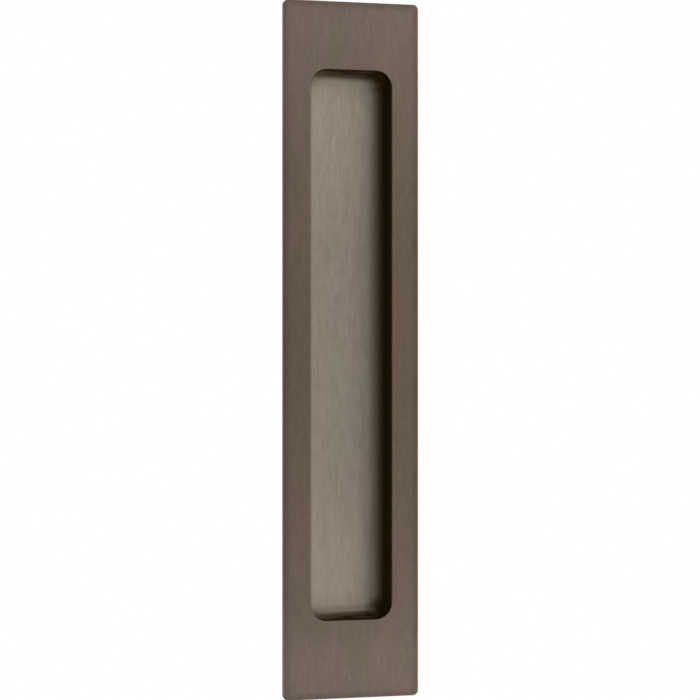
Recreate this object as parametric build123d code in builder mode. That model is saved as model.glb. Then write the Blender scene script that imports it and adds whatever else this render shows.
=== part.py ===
from build123d import *
import os

# Flush pull for a sliding door, cast in one piece: a thin face plate, a deep finger recess that
# sits in the door's mortise, and two tapped bosses behind the end lands that take the fixing screws.
# Millimetres. +Z runs up the door along the plate, +X across it and +Y into the door.
# The origin is the middle of the plane in which the back of the plate meets the door.

# Finger recess, measured at its mouth in the front of the plate
recess_height = 197.6
recess_width = 30.0
recess_depth = 12.5
recess_corner_radius = 6.0  # upright corners
recess_floor_round = 5.5  # sweep from the walls into the floor
mouth_edge_round = 0.3
wall = 2.0  # around and behind the recess
draft_angle = 1.0  # degrees that the recess and the bosses taper, to leave the mould

# Face plate, by the flat lands that it leaves around the mouth of the recess
side_land = 10.0
top_land = 24.4
bottom_land = 28.0
plate_thickness = 2.0
plate_corner_radius = 2.0
plate_edge_round = 0.5

# Fixing bosses, one behind the middle of each end land
boss_diameter = 10.0  # at the plate
boss_length = 8.0
boss_edge_round = 0.6
thread_diameter = 4.0  # bored plain to the full diameter of the screw's thread
thread_mouth_chamfer = 0.4
metal_before_thread = 3.0  # left between the blind end of the bore and the front of the plate
root_round = 1.0  # inside corners where the recess and the bosses grow out of the plate

# Sizes that follow from these
plate_width = recess_width + 2 * side_land
plate_height = recess_height + top_land + bottom_land
recess_middle = (bottom_land - top_land) / 2
boss_heights = (plate_height - top_land) / 2, (bottom_land - plate_height) / 2
thread_depth = boss_length + plate_thickness - metal_before_thread

# Both planes look out of the door into the room
door_face = Plane.XZ
plate_front = door_face.offset(plate_thickness)


def cast_block(width, height, depth, corner_radius, end_round):
    """A block let into the front of the plate, with drafted sides, rounded corners and a rounded end."""
    with BuildPart() as block:
        with BuildSketch(plate_front):
            with Locations((0, recess_middle)):
                RectangleRounded(width, height, corner_radius)
        extrude(amount=-depth)
        sides = block.faces() - block.faces().filter_by(Plane.XZ)
        draft(sides, neutral_plane=plate_front, angle=-draft_angle)
        closed_end = block.faces().sort_by(Axis.Y)[-1]
        fillet(closed_end.edges(), radius=end_round)
    return block.part


# The hollow of the recess, and the tub that follows it at an even wall
recess_core = cast_block(
    recess_width,
    recess_height,
    recess_depth,
    recess_corner_radius,
    recess_floor_round,
)
recess_tub = cast_block(
    recess_width + 2 * wall,
    recess_height + 2 * wall,
    recess_depth + wall,
    recess_corner_radius + wall,
    recess_floor_round + wall,
)

with BuildPart() as pull_body:
    # Plate with rounded outline corners and soft front edges
    with BuildSketch(door_face):
        RectangleRounded(plate_width, plate_height, plate_corner_radius)
    extrude(amount=plate_thickness)
    fillet(pull_body.faces().sort_by(Axis.Y)[0].edges(), radius=plate_edge_round)

    # Tub and bosses on the back of the plate, blended into it at their roots
    add(recess_tub)
    with BuildSketch(door_face):
        with Locations(*[(0, height) for height in boss_heights]):
            Circle(boss_diameter / 2)
    extrude(amount=-boss_length)
    bosses = pull_body.faces(Select.LAST)
    draft(bosses.filter_by(GeomType.CYLINDER), neutral_plane=door_face, angle=-draft_angle)
    boss_ends = pull_body.faces().filter_by_position(Axis.Y, boss_length, boss_length)
    fillet(boss_ends.edges(), radius=boss_edge_round)
    seat = pull_body.faces().filter_by_position(Axis.Y, 0, 0)[0]
    fillet(seat.inner_wires().edges(), radius=root_round)

    # Hollow of the recess, with the sharp edge of its mouth just broken
    add(recess_core, mode=Mode.SUBTRACT)
    front = pull_body.faces().sort_by(Axis.Y)[0]
    fillet(front.inner_wires().edges(), radius=mouth_edge_round)

    # Blind bores for the screw threads, open at the ends of the bosses
    with Locations(*[Plane((0, boss_length, height), z_dir=(0, 1, 0)) for height in boss_heights]):
        CounterSinkHole(
            radius=thread_diameter / 2,
            counter_sink_radius=thread_diameter / 2 + thread_mouth_chamfer,
            depth=thread_depth,
            counter_sink_angle=90,
        )

os.makedirs("parts", exist_ok=True)
pull_body.part.label = "pull_body"
export_step(pull_body.part, "parts/pull_body.step")
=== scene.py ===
import math

import bmesh
import bpy
from mathutils import Matrix, Vector


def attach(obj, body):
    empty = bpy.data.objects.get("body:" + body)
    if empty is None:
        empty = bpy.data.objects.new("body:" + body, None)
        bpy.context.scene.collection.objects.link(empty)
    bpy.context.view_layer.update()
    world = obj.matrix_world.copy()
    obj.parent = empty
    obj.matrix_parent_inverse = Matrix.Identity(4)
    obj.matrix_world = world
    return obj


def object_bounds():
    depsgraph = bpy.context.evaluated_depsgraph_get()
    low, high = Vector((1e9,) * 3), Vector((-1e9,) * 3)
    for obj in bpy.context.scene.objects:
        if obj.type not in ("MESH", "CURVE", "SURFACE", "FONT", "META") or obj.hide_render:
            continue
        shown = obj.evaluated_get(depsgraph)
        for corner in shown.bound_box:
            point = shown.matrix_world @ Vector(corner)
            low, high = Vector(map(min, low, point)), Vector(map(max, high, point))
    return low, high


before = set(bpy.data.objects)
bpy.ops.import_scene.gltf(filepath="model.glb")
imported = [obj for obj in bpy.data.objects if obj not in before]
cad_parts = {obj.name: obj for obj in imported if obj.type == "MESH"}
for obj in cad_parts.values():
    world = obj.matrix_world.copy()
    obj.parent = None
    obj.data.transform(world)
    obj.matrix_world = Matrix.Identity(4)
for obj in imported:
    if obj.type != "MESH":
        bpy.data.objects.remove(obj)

cad_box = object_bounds()

# Cast body of the pull: the face plate, the finger recess and the two fixing bosses in one piece of
# brass. The front is brushed up and down and stained a dark bronze, the floor of the recess keeps a
# lighter stain, and the hidden back is left as it came from the mould, ground flat where it seats.
MM = 0.001
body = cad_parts["pull_body"]
plate_edge = Vector(cad_box[1])
front_plane = cad_box[0][1]
door_plane = 0.0
recess_middle = 1.8 * MM
floor_edge = Vector((9.38, 0.0, 93.18)) * MM  # from the middle of the recess
run_in = 2.5 * MM  # the brush wears the start of each sweep into the floor over this width
sweep_axis_depth = 5.0 * MM  # walls turn into the floor about a line this far behind the door's face
mid_wall = 6.5 * MM  # the recess lies 5.5 mm outside that line, the back of its tub 7.5 mm
tub_reach = 8.2 * MM
mouth_edge_round = 0.3 * MM
root_round = 1.0 * MM
boss_end = 8.0 * MM
bosses_middle = 0.9 * MM
boss_from_middle = 111.9 * MM
brush_depth = 0.010 * MM
cast_depth = 0.10 * MM

# Grain of the finish, as cells in a metre across, into and up the plate
hairline_grain = (3000.0, 3000.0, 360.0)
band_grain = (820.0, 820.0, 170.0)
tint_grain = (95.0, 95.0, 24.0)
cast_grain = (2600.0, 2600.0, 2600.0)
cloud_grain = (70.0, 70.0, 70.0)

# Places where the finish or a painted light or shade changes. A pair gives where a change starts and where
# it is full
end_light_span = 115.0 * MM  # the painted light at the ends is full this far from the middle of the plate
into_mouth = (front_plane + mouth_edge_round, front_plane + 0.8 * MM)
rim_shade_span = (3.5 * MM, 0.0)  # a painted shade, in from the outline of the plate
worn_edge = (0.7 * MM, 0.4 * MM)
lower_end = (-90.0 * MM, -112.0 * MM)  # in height
lower_part = (-45.0 * MM, -70.0 * MM)
recess_ends = (30.0 * MM, 85.0 * MM)  # up or down from the middle of the plate
end_turn = (-run_in, run_in)  # past the end of the recess floor
end_foot = (-3.0 * MM, 2.0 * MM)
right_foot = (5.5 * MM, 11.0 * MM)  # across
right_corner = (7.0 * MM, 14.6 * MM)
corner_spread = 0.35  # the painted shade of a right corner reaches in by this share of the way out to its end
left_foot = (-8.0 * MM, -10.0 * MM)
left_sweep = (-11.0 * MM, -11.8 * MM)
left_corner = (-11.2 * MM, -14.5 * MM)
onto_back = (door_plane - 0.15 * MM, door_plane - 0.05 * MM)  # in depth
off_ground_seat = (door_plane + 0.02 * MM, door_plane + 0.12 * MM)
off_ground_boss = (0.02 * MM, 0.08 * MM)  # to either side of its end
bore_edge = (2.45 * MM, 2.35 * MM)  # from the middle of a bore, just outside its lead-in

# Colours of the metal and its stain. A gain makes the colour lighter or deeper where it lies; most gains
# are painted light or shade
face_olive = (0.150, 0.118, 0.085, 1.0)
face_red = (0.161, 0.118, 0.089, 1.0)
streak_gain = (1.13, 1.14, 1.16, 1.0)
recess_streak_share = 0.55  # how much of the brush lines shows in the recess
# Painted shade in a rim along the outline of the face
rim_shade_gain = (0.75, 0.74, 0.74, 1.0)
edge_gain = (1.10, 1.10, 1.10, 1.0)
# Painted light on the rounded sides of the plate
side_edge_light_gain = (1.45, 1.45, 1.45, 1.0)
# Painted light towards the ends of the face, most at the lower one
end_light_gain = (1.36, 1.37, 1.48, 1.0)
low_end_light_gain = (1.10, 1.09, 1.10, 1.0)
recess_olive = (0.386, 0.335, 0.268, 1.0)
recess_red = (0.396, 0.331, 0.271, 1.0)
# Painted light and shade on the recess floor: lighter towards its ends and along the left sweep, darker at
# the feet of the sweeps and low on the right
recess_end_light_gain = (1.17, 1.17, 1.16, 1.0)
end_foot_shade_gain = (0.87, 0.87, 0.86, 1.0)
left_foot_shade_gain = (0.91, 0.91, 0.91, 1.0)
left_sweep_light_gain = (1.32, 1.32, 1.31, 1.0)
low_right_shade_gain = (0.80, 0.80, 0.80, 1.0)
# The sweeps and side walls of the recess: a deeper stain, darkened further by painted shade
end_sweep_stain_and_shade = (0.200, 0.148, 0.095, 1.0)
side_sweep_stain_and_shade = (0.200, 0.161, 0.094, 1.0)
side_wall_stain_and_shade = (0.075, 0.047, 0.012, 1.0)
cast_colour = (0.105, 0.078, 0.058, 1.0)
cast_high_colour = (0.150, 0.114, 0.086, 1.0)
ground_colour = (0.190, 0.148, 0.114, 1.0)
bare_colour = (0.50, 0.40, 0.27, 1.0)
glancing_colour = (0.45, 0.36, 0.28, 1.0)


class Shading:
    """Adds nodes to a material or world and joins them, so that each step of a finish reads as one line."""

    def __init__(self, owner):
        owner.use_nodes = True
        self.tree = owner.node_tree
        self.tree.nodes.clear()

    def node(self, kind, settings=None, **inputs):
        made = self.tree.nodes.new(kind)
        for name, value in (settings or {}).items():
            setattr(made, name, value)
        for name, value in inputs.items():
            self.feed(made, name.replace("_", " "), value)
        return made

    def feed(self, node, socket, value):
        if isinstance(value, bpy.types.NodeSocket):
            self.tree.links.new(value, node.inputs[socket])
        else:
            node.inputs[socket].default_value = value

    def parts(self, vector):
        return self.node("ShaderNodeSeparateXYZ", Vector=vector).outputs

    def maths(self, operation, first, second=0.0, third=0.0):
        made = self.node("ShaderNodeMath", {"operation": operation})
        self.feed(made, 0, first)
        self.feed(made, 1, second)
        self.feed(made, 2, third)
        return made.outputs[0]

    def vector(self, operation, first, second=(0.0, 0.0, 0.0)):
        made = self.node("ShaderNodeVectorMath", {"operation": operation})
        self.feed(made, 0, first)
        self.feed(made, "Scale" if operation == "SCALE" else 1, second)
        return made.outputs["Value" if operation == "LENGTH" else "Vector"]

    def ramp(self, value, low, high, to_low=0.0, to_high=1.0):
        made = self.node("ShaderNodeMapRange", {"interpolation_type": "SMOOTHSTEP"}, Value=value)
        self.feed(made, "From Min", low)
        self.feed(made, "From Max", high)
        self.feed(made, "To Min", to_low)
        self.feed(made, "To Max", to_high)
        return made.outputs["Result"]

    def mix(self, share, first, second, data_type="RGBA", blend="MIX"):
        made = self.node("ShaderNodeMix", {"data_type": data_type, "blend_type": blend})
        at = {"FLOAT": 2, "VECTOR": 4, "RGBA": 6}[data_type]
        self.feed(made, 0, share)
        self.feed(made, at, first)
        self.feed(made, at + 1, second)
        return made.outputs[{"FLOAT": 0, "VECTOR": 1, "RGBA": 2}[data_type]]

    def noise(self, place, stretch, detail=2.0, roughness=0.5):
        scaled = self.vector("MULTIPLY", place, stretch)
        made = self.node("ShaderNodeTexNoise", Vector=scaled, Scale=1.0, Detail=detail, Roughness=roughness)
        return made.outputs["Fac"]


bronze = bpy.data.materials.new("brushed_bronze")
s = Shading(bronze)
place = s.node("ShaderNodeTexCoord").outputs["Object"]
across, depth, height = s.parts(place)

# The recess and its tub turn about one line, so where a point lies and which way the metal faces there
# both follow from its way out from that line
from_middle = s.vector("SUBTRACT", place, (0.0, 0.0, recess_middle))
past_edge = s.parts(s.vector("SUBTRACT", s.vector("ABSOLUTE", from_middle), floor_edge))
out_to_side = s.maths("SMOOTH_MAX", past_edge["X"], 0.0, run_in)
out_to_end = s.maths("SMOOTH_MAX", past_edge["Z"], 0.0, run_in)
out_in_depth = s.maths("MAXIMUM", s.maths("SUBTRACT", depth, sweep_axis_depth), 0.0)
way_out = s.node("ShaderNodeCombineXYZ", X=out_to_side, Y=out_in_depth, Z=out_to_end).outputs["Vector"]
way_out = s.vector("MULTIPLY", way_out, s.vector("SIGN", from_middle))
from_axis = s.vector("LENGTH", way_out)
inside = s.maths("LESS_THAN", from_axis, mid_wall)
outside = s.maths("SUBTRACT", 1.0, inside)
swept_inside = s.maths("MULTIPLY", inside, s.maths("GREATER_THAN", depth, front_plane + mouth_edge_round))
near_tub = s.maths("LESS_THAN", from_axis, tub_reach)
swept_outside = s.maths("MULTIPLY", near_tub, s.maths("GREATER_THAN", depth, door_plane + root_round))
swept_outside = s.maths("MULTIPLY", outside, swept_outside)
swept_facing = s.vector("SCALE", s.vector("NORMALIZE", way_out), s.maths("SUBTRACT", outside, inside))
facing = s.mix(
    s.maths("ADD", swept_inside, swept_outside),
    s.node("ShaderNodeNewGeometry").outputs["Normal"],
    swept_facing,
    "VECTOR",
)
sideness, frontness, endness = s.parts(s.vector("ABSOLUTE", facing))

# Where each finish and each painted light or shade lies. In the recess they follow the metal as it turns to
# face an end or a side
in_recess = s.maths("MULTIPLY", inside, s.ramp(depth, *into_mouth))
on_end = s.ramp(frontness, 0.85, 0.05)
near_end = s.ramp(past_edge["Z"], *end_turn)
# Painted shade in the corners of the recess, reaching further into the right ones
shade_toward_right = s.ramp(s.maths("MULTIPLY_ADD", out_to_end, corner_spread, across), *right_corner)
shade_toward_left = s.ramp(across, *left_corner)
corner_shade = s.maths("MULTIPLY", s.maths("MAXIMUM", shade_toward_right, shade_toward_left), near_end)
at_end_foot = s.maths("MULTIPLY", s.ramp(past_edge["Z"], *end_foot), s.ramp(endness, 0.55, 0.20))
low_down = s.maths("MULTIPLY", s.ramp(height, *lower_part), s.maths("SUBTRACT", 1.0, near_end))
low_right = s.maths("MULTIPLY", low_down, s.ramp(across, *right_foot))
on_turn = s.ramp(sideness, 0.32, 0.80)
on_side = s.mix(corner_shade, s.ramp(sideness, 0.60, 1.0), 1.0, "FLOAT")
on_sweep = s.ramp(frontness, 1.0, 0.85)
to_side = s.maths("SUBTRACT", plate_edge.x, s.maths("ABSOLUTE", across))
off_middle = s.maths("ABSOLUTE", height)
to_end = s.maths("SUBTRACT", plate_edge.z, off_middle)
to_edge = s.maths("MINIMUM", to_side, to_end)
on_edge = s.ramp(to_edge, *worn_edge)
on_side_edge = s.maths("MULTIPLY", on_edge, s.ramp(sideness, 0.02, 0.20))
on_back = s.maths("MULTIPLY", s.ramp(depth, *onto_back), outside)
off_seat = s.ramp(depth, *off_ground_seat)
from_boss_end = s.maths("ABSOLUTE", s.maths("SUBTRACT", depth, boss_end))
off_boss_end = s.maths("MAXIMUM", s.ramp(from_boss_end, *off_ground_boss), near_tub)
as_cast = s.maths("MULTIPLY", on_back, s.maths("MULTIPLY", off_seat, off_boss_end))
to_boss = s.maths("ABSOLUTE", s.maths("SUBTRACT", height, bosses_middle))
to_boss = s.maths("SUBTRACT", to_boss, boss_from_middle)
to_boss = s.vector("LENGTH", s.node("ShaderNodeCombineXYZ", X=across, Z=to_boss).outputs["Vector"])
in_bore = s.maths("MULTIPLY", on_back, s.ramp(to_boss, *bore_edge))

# Brush lines: fine hairlines up and down the plate, and broader bands where the belt cut deeper
hairlines = s.noise(place, hairline_grain, 3.0, 0.65)
bands = s.noise(place, band_grain)
streaks = s.mix(0.4, hairlines, bands, "FLOAT")
streak_share = s.ramp(streaks, 0.34, 0.66)

# As-cast skin of the back: fine grain over slow clouds of stain
grain = s.noise(place, cast_grain, 4.0, 0.6)
clouds = s.noise(place, cloud_grain)
cast_share = s.ramp(s.maths("ADD", grain, clouds), 0.8, 1.25)

# The stain leans to olive in some places and to red in others. On the face a painted light lightens it
# towards the two ends, most at the lower one, and on the rounded sides; a painted shade darkens a rim
# inside the outline, whose very edges are worn lighter. In the recess painted light lightens the floor
# towards the ends and along the left sweep, and painted shade darkens it at the feet of the sweeps and low
# on the right. The sweeps and side walls are darker by a deeper stain and by painted shade, and the corners
# by painted shade, most of all the right ones
tint = s.ramp(s.noise(place, tint_grain), 0.35, 0.65)
towards_end = s.maths("POWER", s.maths("DIVIDE", off_middle, end_light_span), 2.0)
face = s.mix(tint, face_olive, face_red)
face = s.mix(s.ramp(to_edge, *rim_shade_span), face, rim_shade_gain, blend="MULTIPLY")
face = s.mix(on_edge, face, edge_gain, blend="MULTIPLY")
face = s.mix(on_side_edge, face, side_edge_light_gain, blend="MULTIPLY")
face = s.mix(towards_end, face, end_light_gain, blend="MULTIPLY")
face = s.mix(s.ramp(height, *lower_end), face, low_end_light_gain, blend="MULTIPLY")
recess = s.mix(tint, recess_olive, recess_red)
recess = s.mix(s.ramp(off_middle, *recess_ends), recess, recess_end_light_gain, blend="MULTIPLY")
recess = s.mix(at_end_foot, recess, end_foot_shade_gain, blend="MULTIPLY")
recess = s.mix(s.ramp(across, *left_foot), recess, left_foot_shade_gain, blend="MULTIPLY")
recess = s.mix(s.ramp(across, *left_sweep), recess, left_sweep_light_gain, blend="MULTIPLY")
recess = s.mix(low_right, recess, low_right_shade_gain, blend="MULTIPLY")
recess = s.mix(on_end, recess, end_sweep_stain_and_shade)
recess = s.mix(on_turn, recess, side_sweep_stain_and_shade)
recess = s.mix(on_side, recess, side_wall_stain_and_shade)
front = s.mix(in_recess, face, recess)
front_streaks = s.maths("MULTIPLY", streak_share, s.mix(in_recess, 1.0, recess_streak_share, "FLOAT"))
front = s.mix(front_streaks, front, streak_gain, blend="MULTIPLY")
ground = s.mix(streak_share, ground_colour, streak_gain, blend="MULTIPLY")
back = s.mix(as_cast, ground, s.mix(cast_share, cast_colour, cast_high_colour))
back = s.mix(in_bore, back, bare_colour)
colour = s.mix(on_back, front, back)

brushed_roughness = s.ramp(streaks, 0.3, 0.7, 0.37, 0.30)
cast_roughness = s.ramp(grain, 0.3, 0.7, 0.62, 0.50)
recess_roughness = s.mix(on_sweep, s.maths("ADD", brushed_roughness, 0.08), 0.50, "FLOAT")
roughness = s.mix(in_recess, brushed_roughness, recess_roughness, "FLOAT")
roughness = s.mix(as_cast, roughness, cast_roughness, "FLOAT")

brush_height = s.maths("MULTIPLY", streaks, brush_depth)
grain_height = s.maths("MULTIPLY", grain, cast_depth)
skin = s.mix(as_cast, brush_height, grain_height, "FLOAT")
bump = s.node("ShaderNodeBump", Strength=1.0, Distance=1.0, Height=skin, Normal=facing)

around = s.node("ShaderNodeTangent", {"direction_type": "RADIAL", "axis": "Z"})
metal = s.node("ShaderNodeBsdfPrincipled", Base_Color=colour, Roughness=roughness, Metallic=1.0)
s.feed(metal, "Anisotropic", 0.75)
s.feed(metal, "Tangent", around.outputs["Tangent"])
s.feed(metal, "Specular Tint", glancing_colour)
s.feed(metal, "Normal", bump.outputs["Normal"])
s.node("ShaderNodeOutputMaterial", Surface=metal.outputs["BSDF"])
body.data.materials.clear()
body.data.materials.append(bronze)

# Screw threads: an M4 thread cut into each blind bore by a tap, so a bare bright ridge winds down the
# wall of the bore below the lead-in at the end of its boss.
thread_radius = 2.0 * MM
thread_crest_radius = 1.65 * MM
thread_pitch = 0.7 * MM
thread_top = boss_end - 0.75 * MM
thread_turns = 8
steps_per_turn = 32
ridge_half_width = 0.44 * thread_pitch
sunk = 0.05 * MM  # the root of the ridge lies this far inside the wall of the bore
thread_grain = (9000.0, 1500.0, 9000.0)
cut_colour = (0.42, 0.33, 0.22, 1.0)
cut_high_colour = (0.60, 0.48, 0.33, 1.0)

cut_metal = bpy.data.materials.new("cut_thread")
s = Shading(cut_metal)
place = s.node("ShaderNodeTexCoord").outputs["Object"]
chatter = s.noise(place, thread_grain)
metal = s.node("ShaderNodeBsdfPrincipled", Metallic=1.0)
s.feed(metal, "Base Color", s.mix(chatter, cut_colour, cut_high_colour))
s.feed(metal, "Roughness", s.ramp(chatter, 0.3, 0.7, 0.38, 0.26))
s.node("ShaderNodeOutputMaterial", Surface=metal.outputs["BSDF"])

scene = bpy.context.scene
for which, side in (("upper", 1.0), ("lower", -1.0)):
    boss_height = bosses_middle + side * boss_from_middle
    bm = bmesh.new()
    root_in = bm.verts.new((thread_radius + sunk, thread_top - ridge_half_width, boss_height))
    crest = bm.verts.new((thread_crest_radius, thread_top, boss_height))
    root_out = bm.verts.new((thread_radius + sunk, thread_top + ridge_half_width, boss_height))
    corners = [root_in, crest, root_out]
    sides = [bm.edges.new((corners[i - 1], corners[i])) for i in range(3)]
    bmesh.ops.spin(
        bm,
        geom=corners + sides,
        cent=(0.0, thread_top, boss_height),
        axis=(0.0, 1.0, 0.0),
        dvec=(0.0, -thread_pitch / steps_per_turn, 0.0),
        angle=2 * math.pi * thread_turns,
        steps=steps_per_turn * thread_turns,
        use_merge=False,
    )
    ends = [edge for edge in bm.edges if edge.is_boundary]
    bmesh.ops.holes_fill(bm, edges=ends, sides=3)
    bmesh.ops.recalc_face_normals(bm, faces=bm.faces)
    mesh = bpy.data.meshes.new(f"{which}_thread")
    bm.to_mesh(mesh)
    bm.free()
    thread = bpy.data.objects.new(f"{which}_thread", mesh)
    thread.data.materials.append(cut_metal)
    scene.collection.objects.link(thread)
    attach(thread, "root")

# Floor: a round of pale matt board below the pull, which hangs above it as if held by its door.
# It fades into the white of the room towards its rim, so no edge shows.
floor_level = -0.30
floor_radius = 1.0
fade = (0.65, 0.97)  # from the middle of the floor
board_colour = (0.75, 0.75, 0.75, 1.0)

bm = bmesh.new()
bmesh.ops.create_circle(bm, cap_ends=True, radius=floor_radius, segments=96)
bmesh.ops.translate(bm, verts=bm.verts, vec=(0.0, 0.0, floor_level))
mesh = bpy.data.meshes.new("floor")
bm.to_mesh(mesh)
bm.free()
floor = bpy.data.objects.new("floor", mesh)
scene.collection.objects.link(floor)

board = bpy.data.materials.new("pale_board")
s = Shading(board)
place = s.node("ShaderNodeTexCoord").outputs["Object"]
rays = s.node("ShaderNodeLightPath").outputs
from_pull = s.vector("LENGTH", s.vector("MULTIPLY", place, (1.0, 1.0, 0.0)))
by_metal = s.maths("MAXIMUM", rays["Is Glossy Ray"], rays["Is Transmission Ray"])
shown = s.maths("MAXIMUM", rays["Is Camera Ray"], by_metal)
whitened = s.maths("MULTIPLY", shown, s.ramp(from_pull, *fade))
matt = s.node("ShaderNodeBsdfDiffuse", Color=board_colour)
white = s.node("ShaderNodeEmission", Color=(1.0, 1.0, 1.0, 1.0), Strength=1.0)
blend = s.node("ShaderNodeMixShader", Fac=whitened)
s.feed(blend, 1, matt.outputs[0])
s.feed(blend, 2, white.outputs[0])
s.node("ShaderNodeOutputMaterial", Surface=blend.outputs[0])
floor.data.materials.append(board)

# Flags: a tall curved dark gauze on the left that leans over to the right at its top, and two cloths on
# the floor, a dark one beside the pull and a grey one in front. Only reflections in the metal show them.


def flag(name, start, end, first_bearing, last_bearing):
    """A line from start to end, straight in front of the pull, turned to the right between two bearings."""
    bm = bmesh.new()
    corners = [bm.verts.new((0.0, -radius, level)) for radius, level in (start, end)]
    line = bm.edges.new(corners)
    turn = Matrix.Rotation(math.radians(first_bearing), 3, "Z")
    bmesh.ops.rotate(bm, verts=corners, cent=(0.0, 0.0, 0.0), matrix=turn)
    bmesh.ops.spin(
        bm,
        geom=corners + [line],
        cent=(0.0, 0.0, 0.0),
        axis=(0.0, 0.0, 1.0),
        angle=math.radians(last_bearing - first_bearing),
        steps=48,
        use_merge=False,
    )
    mesh = bpy.data.meshes.new(name)
    bm.to_mesh(mesh)
    bm.free()
    made = bpy.data.objects.new(name, mesh)
    made.visible_camera = False
    made.visible_diffuse = False
    made.visible_shadow = False
    scene.collection.objects.link(made)
    return made


gauze_radius = 1.6
gauze_foot = -0.5
gauze_top = 3.0
gauze_lean = math.radians(12.0)
gauze_front_edge = (math.radians(20.0), math.radians(-20.0))  # where it thickens towards the left
gauze_back_edge = (math.radians(-50.0), math.radians(-80.0))  # where it thins again
gauze_colour = (0.10, 0.10, 0.10, 1.0)

left_flag = flag("left_flag", (gauze_radius, gauze_foot), (gauze_radius, gauze_top), -110.0, 45.0)
gauze = bpy.data.materials.new("dark_gauze")
s = Shading(gauze)
x, y, z = s.parts(s.node("ShaderNodeTexCoord").outputs["Object"])
bearing = s.maths("ARCTAN2", x, s.maths("MULTIPLY", y, -1.0))
lean = s.ramp(z, 0.4, 2.0, 0.0, gauze_lean)
leftward = s.ramp(s.maths("SUBTRACT", bearing, lean), *gauze_front_edge)
backward = s.ramp(bearing, *gauze_back_edge, 1.0, 0.1)
dark = s.node("ShaderNodeBsdfDiffuse", Color=gauze_colour)
clear = s.node("ShaderNodeBsdfTransparent")
blend = s.node("ShaderNodeMixShader", Fac=s.maths("MULTIPLY", leftward, backward))
s.feed(blend, 1, clear.outputs[0])
s.feed(blend, 2, dark.outputs[0])
s.node("ShaderNodeOutputMaterial", Surface=blend.outputs[0])
left_flag.data.materials.append(gauze)

cloth_level = floor_level + 1.0 * MM
side_cloth = flag("side_cloth", (0.02, cloth_level), (0.42, cloth_level), -110.0, -20.0)
front_cloth = flag("front_cloth", (0.50, cloth_level), (0.85, cloth_level), -20.0, 20.0)
for cloth, finish, tone in ((side_cloth, "dark_cloth", 0.03), (front_cloth, "grey_cloth", 0.30)):
    woven = bpy.data.materials.new(finish)
    s = Shading(woven)
    matt = s.node("ShaderNodeBsdfDiffuse", Color=(tone, tone, tone, 1.0))
    s.node("ShaderNodeOutputMaterial", Surface=matt.outputs[0])
    cloth.data.materials.append(woven)

# Light: an even white room, a broad softbox on the right, and a lamp high up behind that drops a
# soft shadow on the floor and lights the back.
room = bpy.data.worlds.new("white_room")
scene.world = room
s = Shading(room)
walls = s.node("ShaderNodeBackground", Color=(1.0, 1.0, 1.0, 1.0), Strength=1.0)
s.node("ShaderNodeOutputWorld", Surface=walls.outputs[0])


def area_lamp(name, place, width, height, watts):
    """A rectangular lamp that looks at the pull."""
    light = bpy.data.lights.new(name, "AREA")
    light.shape = "RECTANGLE"
    light.size = width
    light.size_y = height
    light.energy = watts
    lamp = bpy.data.objects.new(name, light)
    lamp.location = place
    lamp.rotation_euler = (-Vector(place)).to_track_quat("-Z", "Y").to_euler()
    scene.collection.objects.link(lamp)


area_lamp("right_softbox", (1.73, -0.24, 0.0), 1.2, 1.0, 4.0)
area_lamp("back_lamp", (0.60, 1.04, 1.20), 0.5, 0.5, 9.0)

# Camera: level with the middle of the plate and a little to its left, through a long lens. Colours
# are shown as they are written.
camera_angle = math.radians(14.3)
camera_distance = 0.723
aim = Vector((-0.00056, front_plane, 0.0))
view = Vector((math.sin(camera_angle), math.cos(camera_angle), 0.0))

lens = bpy.data.cameras.new("camera")
lens.sensor_width = 36.0
lens.lens = 103.6
camera = bpy.data.objects.new("camera", lens)
camera.location = aim - camera_distance * view
camera.rotation_euler = view.to_track_quat("-Z", "Y").to_euler()
scene.collection.objects.link(camera)
scene.camera = camera
scene.view_settings.view_transform = "Standard"
